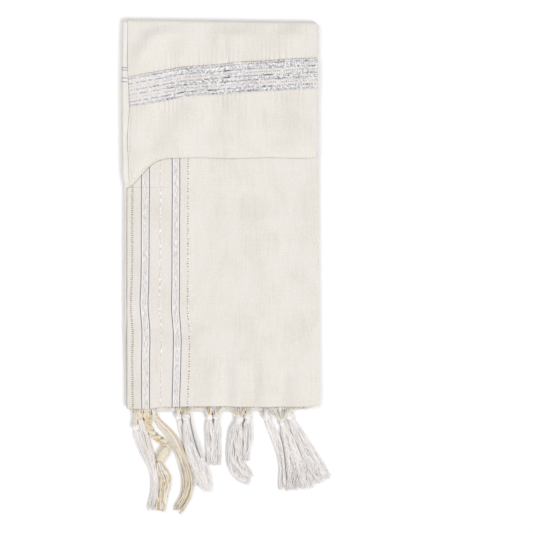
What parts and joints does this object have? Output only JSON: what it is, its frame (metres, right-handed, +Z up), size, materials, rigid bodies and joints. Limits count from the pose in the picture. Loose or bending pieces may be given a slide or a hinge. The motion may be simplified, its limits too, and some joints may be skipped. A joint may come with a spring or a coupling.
{
  "type": "folded tallit prayer shawl",
  "caption": "Woven tallit prayer shawl folded flat, with a silvery striped neckband and knotted fringe tassels at its hem.",
  "frame": {"origin": "middle of the underside, where the folded shawl rests", "axes": "+Z up out of the top face, +Y along the length towards the neck end, +X to the right seen from above"},
  "size_m": [0.2496, 0.5914, 0.014],
  "materials": {
    "cloth": "soft matte ivory handwoven cloth with slubs and thin blue and silvery stripes",
    "neckband": "cream and silvery metallic woven band with broken blue-grey lines",
    "white_yarn": "soft white loose yarn",
    "cream_cord": "cream wool cord and strings with ochre shades"
  },
  "bodies": {
    "root": {"under_layers": "cloth", "front_fold": "cloth", "neck_fold": "cloth", "neckband": "neckband", "tassel_a": "white_yarn", "tassel_b": "white_yarn", "tassel_c": "white_yarn", "tassel_d": "white_yarn", "tassel_e": "white_yarn", "tassel_f": "white_yarn", "tassel_g": "white_yarn", "tassel_h": "white_yarn", "tassel_j": "white_yarn", "tassel_k": "white_yarn", "tzitzit_cord": "cream_cord", "tzitzit_strings": "cream_cord"}
  },
  "joints": []
}
